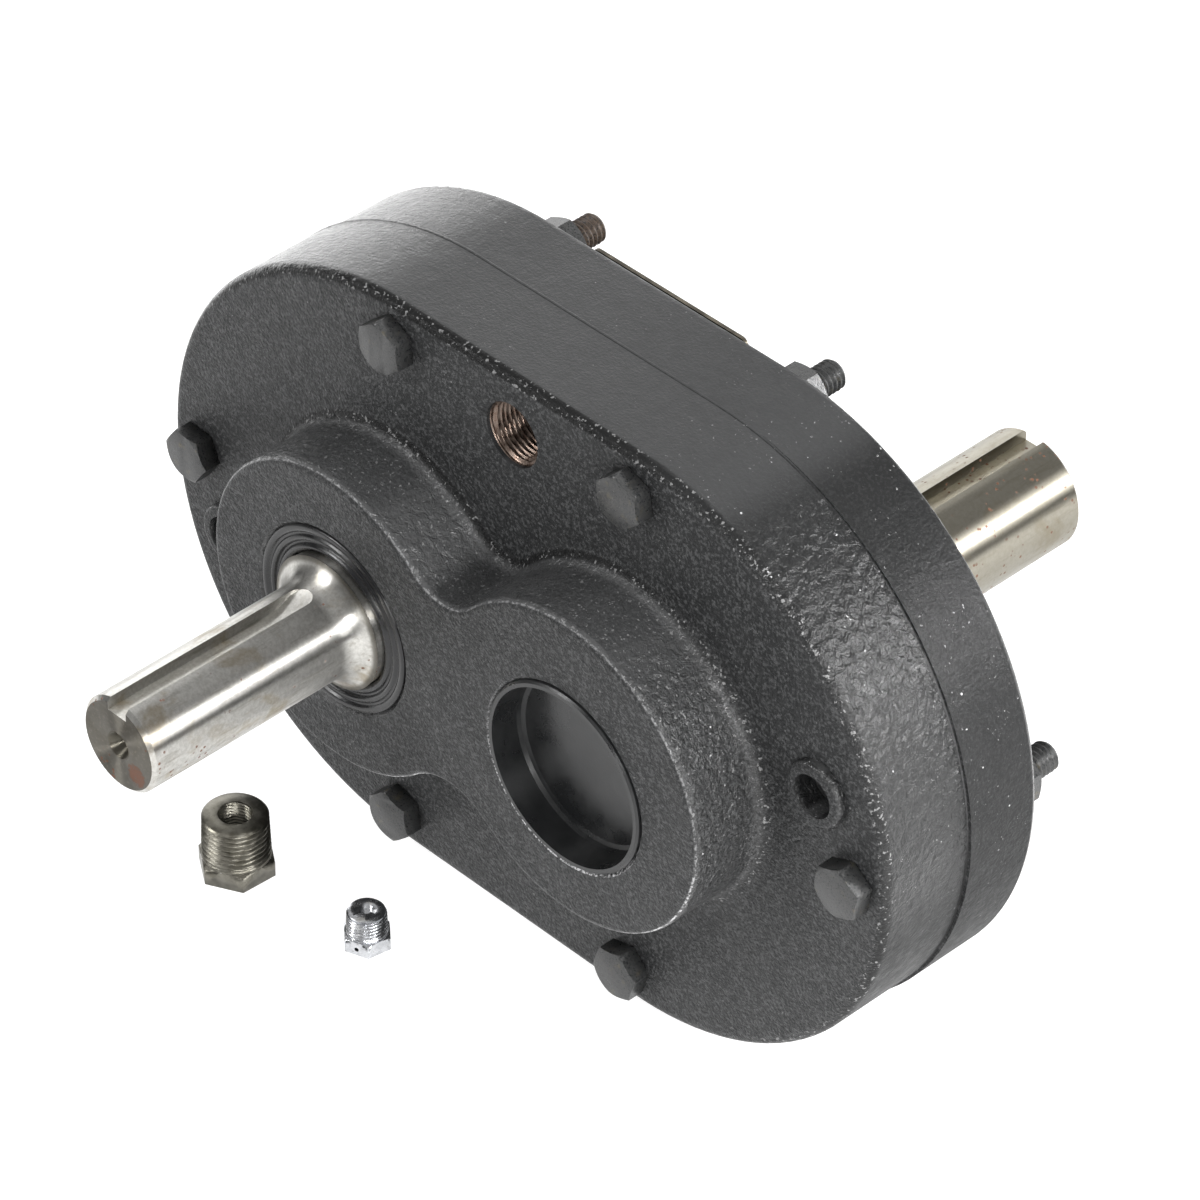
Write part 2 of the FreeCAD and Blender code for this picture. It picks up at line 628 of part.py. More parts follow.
def output_shaft():
    front_end = FRONT_BEARING_Y + 0.5
    shoulder_y = REAR_BOSS_Y + 1.2
    c = SHAFT_CHAMFER
    body = turned([
        (front_end, 0), (front_end, JOURNAL_R - c), (front_end + c, JOURNAL_R),
        (FRONT_RACE_IN, JOURNAL_R), (FRONT_RACE_IN, SEAT_R), (REAR_RACE_IN, SEAT_R),
        (REAR_RACE_IN, JOURNAL_R), (shoulder_y, JOURNAL_R), (shoulder_y + 1.4, OUTPUT_R),
        (OUTPUT_END_Y - c, OUTPUT_R), (OUTPUT_END_Y, OUTPUT_R - c), (OUTPUT_END_Y, 0),
    ], OUTPUT_X)
    body = body.cut(keyway(OUTPUT_X, OUTPUT_R, OUTPUT_END_Y, shoulder_y + 8))
    body = body.cut(centre_drill(OUTPUT_X, OUTPUT_END_Y, -1))
    return body.cut(key_slot(OUTPUT_X, GEAR_Y + 1, GEAR_Y + FACE_W - 1))


# ---------------------------------------------------------------- loose fittings
def fitting(at, flats, hex_h, thread_r, thread_h, bore_r, turn):
    """Threaded fitting that stands on its hexagon, with a hole down its axis."""
    x, y = at
    r = flats / math.sqrt(3)
    angles = [math.radians(turn + 60 * i) for i in range(7)]
    points = [vec(x + r * math.cos(a), y + r * math.sin(a), 0) for a in angles]
    head = Part.Face(Part.makePolygon(points)).extrude(vec(0, 0, hex_h))
    bevel = Part.makeCone(flats * 0.5 + 3.6, flats * 0.5, 2, vec(x, y, hex_h - 2), UP)
    foot = Part.makeCylinder(flats, hex_h - 1.5, vec(x, y, 0), UP)
    head = head.common(bevel.fuse(foot))
    taper = thread_h / 32
    shank = Part.makeCone(thread_r, thread_r - taper, thread_h, vec(x, y, hex_h), UP)
    tip = edges_where(shank, lambda e: abs(e.CenterOfMass.z - hex_h - thread_h) < 1e-4 and e.isClosed())
    body = head.fuse(shank.makeChamfer(0.6, tip))
    return body.cut(Part.makeCylinder(bore_r, hex_h + thread_h + 2, vec(x, y, -1), UP))


def vent_bushing():
    return fitting(BUSHING_AT, BUSHING_FLATS, 4.8, 8.7, 12.4, 4.3, 27)


def vent_plug():
    """Breather: its axial hole is closed at the foot and meets a small hole through the hexagon."""
    x, y = VENT_AT
    turn = 20
    body = fitting(VENT_AT, VENT_FLATS, 3.9, 5.15, 6.4, 1.5, turn)
    stop = Part.makeCylinder(1.6, 1.0, vec(x, y, 0), UP)
    flat_way = math.radians(turn - 90)
    side = Part.makeCylinder(0.6, 7, vec(x, y, 1.8), vec(math.cos(flat_way), math.sin(flat_way), 0))
    return body.fuse(stop).cut(side)


# ---------------------------------------------------------------- build
os.makedirs("parts", exist_ok=True)

save("front_housing", [front_housing()])
save("rear_housing", [rear_housing()])
save("housing_gasket", [gasket()])
save("dowel_pins", dowel_pins())
save("case_bolts", case_bolts())
save("case_nuts", case_nuts())
save("port_plugs", port_plugs())
save("nameplate", [nameplate()])
save("nameplate_rivets", nameplate_rivets())

save("input_seal", [seal(FRONT_BOSS_Y, INPUT_X)])
save("output_seal", [seal(REAR_BOSS_Y, OUTPUT_X)])
save("input_seal_spring", [garter_spring(FRONT_BOSS_Y, INPUT_X)])
save("output_seal_spring", [garter_spring(REAR_BOSS_Y, OUTPUT_X)])
save("front_cup_plug", [cup_plug(FRONT_BOSS_Y, OUTPUT_X)])
save("rear_cup_plug", [cup_plug(REAR_BOSS_Y, INPUT_X)])

for shaft_name, axis_x in (("input", INPUT_X), ("output", OUTPUT_X)):
    for end_name, start_y in (("front", FRONT_BEARING_Y), ("rear", REAR_RACE_IN)):
        bearing = f"{shaft_name}_{end_name}"
        save(f"{bearing}_outer_race", [outer_race(start_y, axis_x)])
        save(f"{bearing}_inner_race", [inner_race(start_y, axis_x)])
        save(f"{bearing}_balls", balls(start_y, axis_x))
        save(f"{bearing}_ball_cage", [cage(start_y, axis_x)])
    save(f"{shaft_name}_front_spacer", [spacer(FRONT_RACE_IN, GEAR_Y, axis_x)])
    save(f"{shaft_name}_rear_spacer", [spacer(GEAR_Y + FACE_W, REAR_RACE_IN, axis_x)])
    save(f"{shaft_name}_gear_key", [gear_key(axis_x)])

save("input_shaft", [input_shaft()])
save("pinion", [pinion()])
save("output_shaft", [output_shaft()])
save("output_gear", [output_gear()])
save("vent_bushing", [vent_bushing()])
save("vent_plug", [vent_plug()])
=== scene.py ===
import json
import math
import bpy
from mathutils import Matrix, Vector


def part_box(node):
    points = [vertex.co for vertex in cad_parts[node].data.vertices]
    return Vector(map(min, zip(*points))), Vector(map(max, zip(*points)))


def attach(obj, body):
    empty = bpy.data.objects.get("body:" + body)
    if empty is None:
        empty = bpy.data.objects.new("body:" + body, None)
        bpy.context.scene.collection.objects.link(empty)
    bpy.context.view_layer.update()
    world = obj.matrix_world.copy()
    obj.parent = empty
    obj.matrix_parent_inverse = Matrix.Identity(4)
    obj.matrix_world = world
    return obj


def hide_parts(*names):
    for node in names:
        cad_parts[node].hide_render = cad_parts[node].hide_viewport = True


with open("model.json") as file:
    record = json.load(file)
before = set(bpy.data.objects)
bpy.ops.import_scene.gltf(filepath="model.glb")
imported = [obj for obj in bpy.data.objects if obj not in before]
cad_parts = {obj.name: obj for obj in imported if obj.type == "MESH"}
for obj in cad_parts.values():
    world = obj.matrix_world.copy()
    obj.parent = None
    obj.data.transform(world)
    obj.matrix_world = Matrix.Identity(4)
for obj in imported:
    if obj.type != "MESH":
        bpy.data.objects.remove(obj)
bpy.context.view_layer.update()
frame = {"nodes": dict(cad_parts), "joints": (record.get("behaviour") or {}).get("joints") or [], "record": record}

from types import SimpleNamespace

import bmesh
import bpy
from mathutils import Vector

MM = 0.001
INCH = 25.4 * MM
JOINTS = {joint["name"]: joint for joint in frame["joints"]}
INPUT_AXIS = Vector(JOINTS["input_spin"]["pos_m"])
OUTPUT_AXIS = Vector(JOINTS["output_spin"]["pos_m"])
NODE_SLOT = {part["node"]: part["material_slot"] for part in frame["record"]["subparts"]}
FRONT_FACE_Y = -27.0 * MM
INPUT_TIP_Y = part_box("input_shaft")[0].y


# ------------------------------------------------------------------ shader helpers
class Shader:
    """A material under construction, with short calls for the nodes it uses."""

    def __init__(self, name):
        self.material = bpy.data.materials.new(name)
        self.material.use_nodes = True
        self.tree = self.material.node_tree
        self.tree.nodes.clear()
        self.output = self.new("ShaderNodeOutputMaterial")
        self.bsdf = self.new("ShaderNodeBsdfPrincipled")
        self.link(self.bsdf.outputs["BSDF"], self.output.inputs["Surface"])
        self.place = self.new("ShaderNodeTexCoord").outputs["Object"]

    def new(self, kind):
        return self.tree.nodes.new(kind)

    def link(self, source, target):
        self.tree.links.new(source, target)

    def feed(self, socket, value):
        """Links a socket, or sets a plain number or colour on it."""
        if isinstance(value, bpy.types.NodeSocket):
            self.link(value, socket)
        elif isinstance(value, (tuple, list)) and len(value) == 3 and socket.type == "RGBA":
            socket.default_value = (*value, 1.0)
        else:
            socket.default_value = value

    def stretched(self, scale, offset=(0, 0, 0)):
        """The place on the object, scaled along each axis, so that a pattern stretches."""
        node = self.new("ShaderNodeMapping")
        self.link(self.place, node.inputs["Vector"])
        node.inputs["Scale"].default_value = scale
        node.inputs["Location"].default_value = offset
        return node.outputs["Vector"]

    def noise(self, size, detail=3.0, rough=0.55, vector=None, distortion=0.0):
        """Noise with a wavelength of size metres; its blobs are about half as wide."""
        node = self.new("ShaderNodeTexNoise")
        self.link(vector or self.place, node.inputs["Vector"])
        node.inputs["Scale"].default_value = 1.0 / size
        node.inputs["Detail"].default_value = detail
        node.inputs["Roughness"].default_value = rough
        node.inputs["Distortion"].default_value = distortion
        return node.outputs["Fac"]

    def cells(self, size):
        """Distance to the nearest of points scattered about size metres apart."""
        node = self.new("ShaderNodeTexVoronoi")
        self.link(self.place, node.inputs["Vector"])
        node.inputs["Scale"].default_value = 1.0 / size
        return node.outputs["Distance"]

    def span(self, value, low, high, to_low=0.0, to_high=1.0):
        """Maps low..high smoothly to to_low..to_high."""
        node = self.new("ShaderNodeMapRange")
        node.interpolation_type = "SMOOTHSTEP"
        self.feed(node.inputs["Value"], value)
        node.inputs["From Min"].default_value = low
        node.inputs["From Max"].default_value = high
        node.inputs["To Min"].default_value = to_low
        node.inputs["To Max"].default_value = to_high
        return node.outputs["Result"]

    def until(self, value, low, high):
        """1 below low, falling smoothly to 0 at high."""
        return self.span(value, low, high, 1.0, 0.0)

    def math(self, operation, first, second=0.0):
        node = self.new("ShaderNodeMath")
        node.operation = operation
        self.feed(node.inputs[0], first)
        self.feed(node.inputs[1], second)
        return node.outputs["Value"]

    def most(self, first, second):
        return self.math("MAXIMUM", first, second)

    def least(self, first, second):
        return self.math("MINIMUM", first, second)

    def plus(self, *terms):
        value = terms[0]
        for term in terms[1:]:
            value = self.math("ADD", value, term)
        return value

    def minus(self, first, second):
        return self.math("SUBTRACT", first, second)

    def times(self, *factors):
        value = factors[0]
        for factor in factors[1:]:
            value = self.math("MULTIPLY", value, factor)
        return value

    def size_of(self, value):
        return self.math("ABSOLUTE", value)

    def blend(self, factor, first, second):
        """The first colour at factor 0 and the second at factor 1."""
        node = self.new("ShaderNodeMix")
        node.data_type = "RGBA"
        self.feed(node.inputs["Factor"], factor)
        self.feed(node.inputs[6], first)
        self.feed(node.inputs[7], second)
        return node.outputs[2]

    def near(self, centre, reach, fade):
        """1 within reach metres of a point of the row frame, falling to 0 over fade."""
        node = self.new("ShaderNodeVectorMath")
        node.operation = "DISTANCE"
        self.link(self.place, node.inputs[0])
        node.inputs[1].default_value = centre
        return self.until(node.outputs["Value"], reach, reach + fade)

    def axis_part(self, axis, vector=None):
        node = self.new("ShaderNodeSeparateXYZ")
        self.link(vector or self.place, node.inputs["Vector"])
        return node.outputs[axis]

    def facing(self, axis):
        """Size of the surface normal along one row axis, 0 to 1."""
        normal = self.new("ShaderNodeTexCoord").outputs["Normal"]
        return self.size_of(self.axis_part(axis, normal))

    def bump(self, height, distance, strength=1.0, under=None):
        node = self.new("ShaderNodeBump")
        self.link(height, node.inputs["Height"])
        node.inputs["Distance"].default_value = distance
        self.feed(node.inputs["Strength"], strength)
        if under is not None:
            self.link(under, node.inputs["Normal"])
        return node.outputs["Normal"]

    def finish(self, color, rough, metallic=0.0, normal=None, **more):
        """Feeds the shader and returns the material; more names other sockets, _ for a space."""
        self.feed(self.bsdf.inputs["Base Color"], color)
        self.feed(self.bsdf.inputs["Roughness"], rough)
        self.feed(self.bsdf.inputs["Metallic"], metallic)
        if normal is not None:
            self.link(normal, self.bsdf.inputs["Normal"])
            self.link(normal, self.bsdf.inputs["Coat Normal"])
        for name, value in more.items():
            self.feed(self.bsdf.inputs[name.replace("_", " ")], value)
        return self.material


# ------------------------------------------------------------------ case paint
CASE_DARK = (0.020, 0.0205, 0.021)
CASE_LIGHT = (0.027, 0.0275, 0.028)
# painted shade: near black for the sideways faces of the right end
RIGHT_SHADE_BLACK = (0.004, 0.004, 0.004)
# painted shade: near black for the fillet round the front face
FRONT_RIM_SHADE_BLACK = (0.005, 0.005, 0.005)
# painted sheen: lighter grey for the boss flanks, where they catch the lights
FLANK_SHEEN_GREY = (0.070, 0.0705, 0.071)
# painted light: lighter grey for the flat top and bottom
FLAT_SIDE_LIGHT_GREY = (0.046, 0.0465, 0.047)
# pale speckle: partly the paint's grain, partly painted glints
GRAIN_AND_GLINT_GREY = (0.069, 0.070, 0.071)
# pale specks: partly dust, partly painted glints, also the painted glints round the front face
DUST_AND_GLINT_GREY = (0.26, 0.26, 0.26)
# painted highlight: pale colour for the boss rims and the glints on the right end
PAINTED_HIGHLIGHT = (0.72, 0.72, 0.73)


def case_zones(s):
    """Masks, 0 to 1, of the parts of the case whose skin differs."""
    x = s.axis_part("X")
    y = s.axis_part("Y")
    z = s.axis_part("Z")
    side = s.until(s.facing("Y"), 0.62, 0.9)
    long_side = s.span(s.facing("Z"), 0.90, 0.99)
    rear_half = s.span(y, -0.6 * MM, 0.2 * MM)
    front_half = s.span(rear_half, 0.0, 1.0, 1.0, 0.10)
    right_end = s.times(s.span(x, 52 * MM, 84 * MM), front_half, s.span(z, 62 * MM, 90 * MM))
    left_end = s.until(x, -78 * MM, -38 * MM)
    boss_flank = s.span(s.size_of(y), 27.5 * MM, 29.5 * MM)
    rugged = s.least(s.plus(right_end, boss_flank, 0.12), 1.0)
    rugged = s.times(side, rugged, s.span(long_side, 0.0, 1.0, 1.0, 0.35))
    return SimpleNamespace(
        x=x, y=y, z=z, side=side, long_side=long_side, rear_half=rear_half,
        left_end=left_end, boss_flank=boss_flank, rugged=rugged,
    )


def case_color(s, zone, grain):
    """Dark enamel with random tone, pale grain that is partly painted glints, and pale dusty specks that are
    partly painted glints. Painted light makes the flat top and bottom and the boss flanks lighter. Painted shade
    makes the right end near black and darkens the fillet round the front face. Painted highlights lie on the boss
    rims, round the front face and on the upper right end.
    """
    speck = s.noise(0.78 * MM, 2.0, 0.6)
    glint_noise = s.noise(1.05 * MM, 2.0, 0.55)
    tone = s.noise(22 * MM, 4.0, 0.6)
    color = s.blend(s.span(tone, 0.3, 0.7), CASE_DARK, CASE_LIGHT)
    # Painted sheen: the boss flanks are painted lighter, as where they catch the lights.
    color = s.blend(s.times(zone.boss_flank, zone.side), color, FLANK_SHEEN_GREY)
    # Painted shade: the sideways faces of the right end are painted near black.
    shaded_right_side = s.times(zone.side, s.span(zone.x, 45 * MM, 75 * MM))
    color = s.blend(s.times(shaded_right_side, 0.6), color, RIGHT_SHADE_BLACK)
    # Painted light: the flat top and bottom are painted lighter, as the top catches the light.
    color = s.blend(s.times(s.span(zone.long_side, 0.0, 1.0), zone.side), color, FLAT_SIDE_LIGHT_GREY)

    # Pale speckle on the faces and boss flanks: partly the paint's grain, partly painted glints.
    speckled = s.least(s.plus(s.span(zone.side, 0.0, 1.0, 1.0, 0.16), zone.boss_flank), 1.0)
    color = s.blend(s.times(s.span(speck, 0.47, 0.65), speckled), color, GRAIN_AND_GLINT_GREY)

    # Pale specks: partly dust, partly painted glints; those on the boss flanks are painted glints.
    dust_and_glints = s.times(s.span(s.noise(0.8 * MM, 2.0, 0.5), 0.68, 0.74), s.span(s.noise(12 * MM), 0.5, 0.6))
    dust_and_glints = s.most(dust_and_glints, s.times(s.span(glint_noise, 0.64, 0.70), zone.boss_flank, zone.side))
    color = s.blend(s.times(dust_and_glints, 0.7), color, DUST_AND_GLINT_GREY)

    # Painted shade on the fillet round the front face: a dark band, darker towards the left, broken by pale
    # painted glints.
    painted_front_rim = s.times(s.span(s.facing("Y"), 0.10, 0.22), s.until(s.facing("Y"), 0.90, 0.97))
    painted_front_rim = s.times(painted_front_rim, s.until(zone.y, -24.5 * MM, -23.5 * MM), s.span(zone.y, -29 * MM, -28 * MM))
    color = s.blend(s.times(painted_front_rim, s.span(zone.x, 30 * MM, 60 * MM, 0.85, 0.3)), color, FRONT_RIM_SHADE_BLACK)
    color = s.blend(s.times(painted_front_rim, s.span(glint_noise, 0.60, 0.66), 0.8), color, DUST_AND_GLINT_GREY)

    # Painted highlight along the rims of the bosses, strongest low down and left off round the input seal bore.
    boss_rim_highlight = s.times(s.span(s.facing("Y"), 0.52, 0.62), s.until(s.facing("Y"), 0.72, 0.84))
    boss_rim_highlight = s.times(boss_rim_highlight, s.span(s.size_of(zone.y), 41 * MM, 42 * MM), s.span(grain, 0.44, 0.58))
    seal_bore = s.near((INPUT_AXIS.x, -43 * MM, INPUT_AXIS.z), 27 * MM, 1 * MM)
    boss_rim_highlight = s.times(boss_rim_highlight, s.until(seal_bore, 0.0, 1.0), s.span(zone.z, 62 * MM, 90 * MM, 0.85, 0.22))
    # Painted glints: pale specks on the upper part of the right end.
    right_end_glints = s.times(s.until(s.cells(1.7 * MM), 0.12, 0.22), s.span(s.noise(9 * MM, 3.0, 0.6), 0.55, 0.60))
    right_end_glints = s.times(right_end_glints, s.span(speck, 0.50, 0.60), zone.side)
    right_end_glints = s.times(right_end_glints, s.span(zone.x, 45 * MM, 70 * MM), s.span(zone.z, 60 * MM, 90 * MM))
    return s.blend(s.times(s.most(boss_rim_highlight, s.times(right_end_glints, 0.8)), 0.9), color, PAINTED_HIGHLIGHT)


def case_roughness(s, zone):
    """Satin, slicker where the paint lies thick, duller towards the right of the rear casting."""
    rough = s.span(s.noise(3 * MM, 4.0, 0.6), 0.3, 0.7, 0.30, 0.44)
    rough = s.minus(rough, s.times(zone.rugged, 0.13))
    rough = s.minus(rough, s.times(zone.left_end, zone.side, 0.13))
    dull = s.times(s.span(zone.rear_half, 0.0, 1.0, 0.14, 0.22), s.span(zone.x, -20 * MM, 40 * MM))
    return s.plus(rough, s.times(dull, zone.side))


def case_gloss(s, zone):
    """Thick glossy paint on the ends, the boss flanks and the rear casting's right-hand fillet."""
    fillet = s.times(s.span(s.facing("Y"), 0.10, 0.25), s.until(s.facing("Y"), 0.90, 0.98))
    fillet = s.times(fillet, s.span(zone.y, 19 * MM, 20 * MM), s.until(zone.y, 23 * MM, 24 * MM))
    fillet = s.times(fillet, s.span(zone.x, 40 * MM, 60 * MM))
    gloss = s.most(s.times(zone.rugged, 0.5), s.times(zone.left_end, zone.side, 0.7))
    return s.most(gloss, fillet)


def case_relief(s, zone, grain):
    """Sand-cast skin: long waves, then lumps, pits, wrinkles and fine grain."""
    wrinkle_place = s.stretched((0.45, 1.0, 0.45), (0.2, 0.1, 0.4))
    waves = s.noise(14 * MM, 3.0, 0.5)
    lumps = s.noise(2.7 * MM, 4.0, 0.58, distortion=0.5)
    pits = s.cells(2.2 * MM)
    wrinkle = s.noise(1.8 * MM, 4.0, 0.6, wrinkle_place, 1.2)
    brushed = s.noise(2.4 * MM, 3.0, 0.55, s.stretched((1.0, 0.18, 1.0)), 0.6)
    leather = s.noise(2.2 * MM, 4.0, 0.6, distortion=0.4)
    normal = s.bump(waves, 0.9 * MM, 0.4)
    normal = s.bump(lumps, 0.95 * MM, zone.rugged, normal)
    normal = s.bump(pits, 0.35 * MM, s.times(zone.rugged, 0.5), normal)
    normal = s.bump(wrinkle, 0.7 * MM, s.times(zone.side, zone.left_end, 0.6), normal)
    normal = s.bump(brushed, 0.35 * MM, s.times(zone.side, 0.28), normal)
    normal = s.bump(leather, 0.30 * MM, 0.5, normal)
    return s.bump(grain, 0.55 * MM, s.span(zone.side, 0.0, 1.0, 1.0, 0.4), normal)


def case_paint():
    """Dark enamel on cast iron: grainy faces, smooth long sides, lumpy glossy ends and flanks."""
    s = Shader("case_paint")
    zone = case_zones(s)
    grain = s.noise(0.85 * MM, 3.0, 0.62)
    return s.finish(
        case_color(s, zone, grain), case_roughness(s, zone), normal=case_relief(s, zone, grain),
        Coat_Weight=case_gloss(s, zone), Coat_Roughness=0.07, Specular_IOR_Level=0.18,
    )


# ------------------------------------------------------------------ other materials
def bolt_paint():
    """Worn dark enamel over bolt steel; the studs behind the input end are browner."""
    s = Shader("bolt_paint")
    patch = s.noise(3.2 * MM, 5.0, 0.65)
    fine = s.noise(0.5 * MM, 3.0, 0.6)
    worn = s.span(patch, 0.58, 0.68)
    color = s.blend(s.span(fine, 0.35, 0.65), (0.022, 0.023, 0.024), (0.050, 0.050, 0.049))
    color = s.blend(s.times(worn, 0.5), color, (0.13, 0.115, 0.08))
    left = s.until(s.axis_part("X"), -30 * MM, -20 * MM)
    stud = s.span(s.axis_part("Y"), 29 * MM, 30 * MM)
    brown = s.times(left, stud, s.span(fine, 0.3, 0.6), 0.6)
    color = s.blend(brown, color, (0.11, 0.070, 0.045))
    rough = s.span(fine, 0.3, 0.7, 0.26, 0.44)
    normal = s.bump(patch, 0.22 * MM, 0.6)
    normal = s.bump(fine, 0.10 * MM, 0.6, normal)
    return s.finish(color, rough, s.times(worn, 0.3), normal)


def cup_paint():
    """Smooth dark enamel on the pressed cup plugs."""
    s = Shader("cup_paint")
    patch = s.noise(9 * MM, 4.0, 0.6)
    fine = s.noise(0.7 * MM, 3.0, 0.5)
    color = s.blend(s.span(patch, 0.35, 0.65), (0.009, 0.0095, 0.010), (0.016, 0.0165, 0.017))
    rough = s.span(patch, 0.3, 0.7, 0.24, 0.38)
    normal = s.bump(patch, 0.4 * MM, 0.2)
    normal = s.bump(fine, 0.05 * MM, 0.4, normal)
    return s.finish(color, rough, normal=normal)


def gasket():
    """Fibre sheet, painted over along the top and bare low on the right, where it is darker."""
    s = Shader("gasket")
    fibres = s.noise(0.8 * MM, 4.0, 0.7)
    color = s.blend(s.span(fibres, 0.3, 0.7), (0.045, 0.045, 0.046), (0.075, 0.075, 0.076))
    right = s.span(s.axis_part("X"), 62 * MM, 78 * MM)
    low = s.until(s.axis_part("Z"), 70 * MM, 100 * MM)
    bare = s.times(right, low, s.span(fibres, 0.30, 0.45))
    color = s.blend(bare, color, (0.012, 0.012, 0.012))
    return s.finish(color, s.span(fibres, 0.2, 0.8, 0.40, 0.60), normal=s.bump(fibres, 0.1 * MM, 0.6))


def shaft_steel():
    """Turned and ground steel with oil stains and scattered rust; the end faces are duller, and the centre hole in
    the input end is darkened with painted shade.
    """
    s = Shader("shaft_steel")
    x = s.axis_part("X")
    y = s.axis_part("Y")
    end_face = s.span(s.facing("Y"), 0.85, 0.95)
    rear_end = s.times(s.span(x, -5 * MM, 5 * MM), s.span(y, 40 * MM, 44 * MM))
    turned = s.noise(0.30 * MM, 3.0, 0.7, s.stretched((0.04, 1.0, 0.04)))
    drawn = s.noise(1.6 * MM, 4.0, 0.65, s.stretched((1.0, 0.12, 1.0)))
    mottle = s.noise(1.0 * MM, 5.0, 0.7)
    stain = s.noise(12 * MM, 6.0, 0.62, s.stretched((1.0, 0.75, 1.0), (0.31, 0.07, 0.12)), 0.5)
    color = s.blend(s.span(mottle, 0.35, 0.65), (0.48, 0.47, 0.44), (0.60, 0.59, 0.56))
    color = s.blend(s.span(drawn, 0.52, 0.70, 0.0, 0.45), color, (0.24, 0.22, 0.18))
    color = s.blend(s.times(s.span(stain, 0.52, 0.66), 0.5), color, (0.30, 0.23, 0.125))
    color = s.blend(s.times(rear_end, 0.75), color, (0.205, 0.185, 0.135))
    color = s.blend(s.times(end_face, 0.95), color, (0.125, 0.117, 0.10))
    color = s.blend(s.times(end_face, s.span(mottle, 0.52, 0.66), 0.6), color, (0.21, 0.19, 0.16))

    specks = s.until(s.cells(1.8 * MM), 0.16, 0.28)
    spread = s.plus(s.noise(8 * MM, 4.0, 0.6), s.times(rear_end, 0.07))
    specks = s.times(specks, s.span(spread, 0.56, 0.64))
    patch_place = (INPUT_AXIS.x + 6.0 * MM, INPUT_TIP_Y, INPUT_AXIS.z - 5.5 * MM)
    patch = s.plus(s.near(patch_place, 1.6 * MM, 4.0 * MM), s.times(mottle, 1.6))
    on_tip = s.until(y, INPUT_TIP_Y + 1.2 * MM, INPUT_TIP_Y + 1.8 * MM)
    patch = s.times(s.span(patch, 1.45, 1.75), on_tip)
    rusty = s.most(s.times(specks, 0.9), s.times(patch, 0.85))
    color = s.blend(rusty, color, (0.15, 0.060, 0.032))
    # Painted shade: the walls of the centre hole in the input shaft's end are painted dark.
    centre_hole = s.near((INPUT_AXIS.x, INPUT_TIP_Y, INPUT_AXIS.z), 3.6 * MM, 0.3 * MM)
    color = s.blend(centre_hole, color, (0.15, 0.14, 0.115))

    rough = s.plus(s.span(drawn, 0.3, 0.7, 0.28, 0.32), s.times(s.span(stain, 0.5, 0.7), 0.08))
    rough = s.plus(rough, s.times(rusty, 0.4), s.times(end_face, 0.22), s.times(centre_hole, 0.12))
    metal = s.span(rusty, 0.0, 1.0, 1.0, 0.25)
    normal = s.bump(turned, 0.014 * MM, 0.5)
    normal = s.bump(mottle, 0.03 * MM, s.span(end_face, 0.0, 1.0, 0.15, 0.6), normal)
    tangent = s.new("ShaderNodeTangent")
    tangent.direction_type = "RADIAL"
    tangent.axis = "Y"
    s.link(tangent.outputs["Tangent"], s.bsdf.inputs["Tangent"])
    return s.finish(color, rough, metal, normal, Anisotropic=0.92, Anisotropic_Rotation=0.25)


def gear_steel():
    """Cut teeth under a film of oil."""
    s = Shader("gear_steel")
    cut = s.noise(0.5 * MM, 3.0, 0.6, s.stretched((1.0, 0.1, 1.0)))
    oil = s.noise(8 * MM, 4.0, 0.6)
    color = s.blend(s.span(oil, 0.4, 0.65), (0.34, 0.33, 0.31), (0.22, 0.18, 0.12))
    return s.finish(color, s.span(oil, 0.3, 0.7, 0.38, 0.24), 1.0, s.bump(cut, 0.03 * MM, 0.5))


def bearing_steel():
    """Ground races and polished balls."""
    s = Shader("bearing_steel")
    ground = s.noise(0.2 * MM, 2.0, 0.5, s.stretched((0.08, 1.0, 0.08)))
    film = s.noise(6 * MM, 3.0, 0.5)
    color = s.blend(s.span(film, 0.3, 0.7), (0.60, 0.60, 0.60), (0.50, 0.49, 0.46))
    return s.finish(color, s.span(film, 0.3, 0.7, 0.10, 0.18), 1.0, s.bump(ground, 0.01 * MM, 0.4))


def cage_steel():
    """Pressed steel strip of the ball cages."""
    s = Shader("cage_steel")
    pressed = s.noise(1.2 * MM, 4.0, 0.6)
    color = s.blend(s.span(pressed, 0.3, 0.7), (0.44, 0.42, 0.38), (0.56, 0.54, 0.50))
    return s.finish(color, s.span(pressed, 0.3, 0.7, 0.28, 0.42), 1.0, s.bump(pressed, 0.04 * MM, 0.5))


def seal_rubber():
    """Black oily rubber."""
    s = Shader("seal_rubber")
    skin = s.noise(0.6 * MM, 4.0, 0.6)
    film = s.noise(7 * MM, 3.0, 0.5)
    color = s.blend(s.span(film, 0.35, 0.7), (0.006, 0.006, 0.007), (0.014, 0.014, 0.014))
    normal = s.bump(skin, 0.05 * MM, 0.5)
    return s.finish(color, s.span(film, 0.3, 0.7, 0.20, 0.34), normal=normal)


def plate_metal():
    """Tarnished brushed plate."""
    s = Shader("plate_metal")
    brushed = s.noise(0.5 * MM, 3.0, 0.6, s.stretched((0.04, 1.0, 1.0)))
    dull = s.noise(5 * MM, 5.0, 0.65)
    color = s.blend(s.span(dull, 0.35, 0.65), (0.12, 0.105, 0.08), (0.055, 0.047, 0.036))
    return s.finish(color, s.span(dull, 0.3, 0.7, 0.32, 0.5), 0.8, s.bump(brushed, 0.03 * MM, 0.6))


